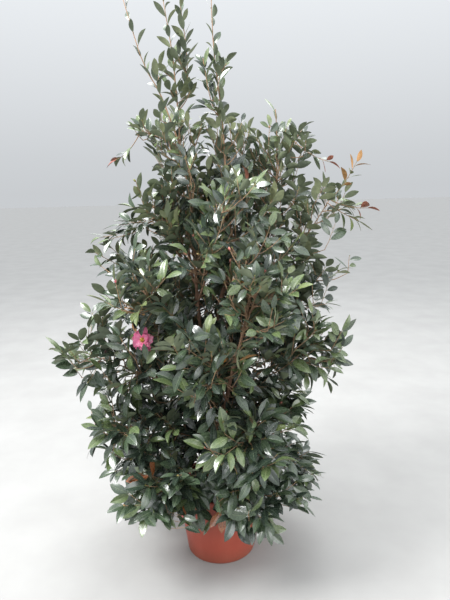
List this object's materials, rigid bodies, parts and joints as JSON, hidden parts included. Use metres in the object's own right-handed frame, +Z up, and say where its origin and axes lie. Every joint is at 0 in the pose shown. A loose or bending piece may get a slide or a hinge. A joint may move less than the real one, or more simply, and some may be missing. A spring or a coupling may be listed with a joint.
{
  "type": "camellia shrub in a pot",
  "caption": "Tall evergreen camellia shrub with several thin stems, arching leafy boughs and long bare-based leaders, growing in a round tapered plant pot.",
  "frame": {"origin": "middle of the pot's flat underside", "axes": "+Z up along the shrub; the picture looks along +Y, with +X to the right"},
  "size_m": [1.2887, 1.1107, 2.2472],
  "materials": {
    "pot": "satin moulded plastic in a terracotta colour",
    "soil": "moist crumbly potting compost",
    "bark": "smooth reddish-brown bark",
    "leaves": "glossy evergreen leaves"
  },
  "bodies": {
    "root": {"pot": "pot", "soil": "soil", "trunk": "bark", "stem_back": "bark", "stem_front": "bark", "stem_left": "bark", "stem_rear_right": "bark", "stem_right": "bark", "bough_low_1": "bark", "bough_low_2": "bark", "bough_low_3": "bark", "bough_low_4": "bark", "bough_low_5": "bark", "bough_lower_1": "bark", "bough_lower_2": "bark", "bough_lower_3": "bark", "bough_lower_4": "bark", "bough_middle_1": "bark", "bough_middle_2": "bark", "bough_middle_3": "bark", "bough_middle_4": "bark", "bough_middle_5": "bark", "bough_shoulder_1": "bark", "bough_shoulder_2": "bark", "bough_shoulder_3": "bark", "bough_shoulder_4": "bark", "bough_shoulder_5": "bark", "bough_upper_1": "bark", "bough_upper_2": "bark", "bough_upper_3": "bark", "bough_upper_4": "bark", "leaves_front": "leaves", "leaves_low_1": "leaves", "leaves_low_2": "leaves", "leaves_low_3": "leaves", "leaves_low_4": "leaves", "leaves_low_5": "leaves", "leaves_lower_1": "leaves", "leaves_lower_2": "leaves", "leaves_lower_3": "leaves", "leaves_lower_4": "leaves", "leaves_middle_1": "leaves", "leaves_middle_2": "leaves", "leaves_middle_3": "leaves", "leaves_middle_4": "leaves", "leaves_middle_5": "leaves", "leaves_rear_right": "leaves", "leaves_shoulder_1": "leaves", "leaves_shoulder_2": "leaves", "leaves_shoulder_3": "leaves", "leaves_shoulder_4": "leaves", "leaves_shoulder_5": "leaves", "leaves_top_back": "leaves", "leaves_top_left": "leaves", "leaves_top_middle": "leaves", "leaves_top_right": "leaves", "leaves_upper_1": "leaves", "leaves_upper_2": "leaves", "leaves_upper_3": "leaves", "leaves_upper_4": "leaves"}
  },
  "joints": []
}
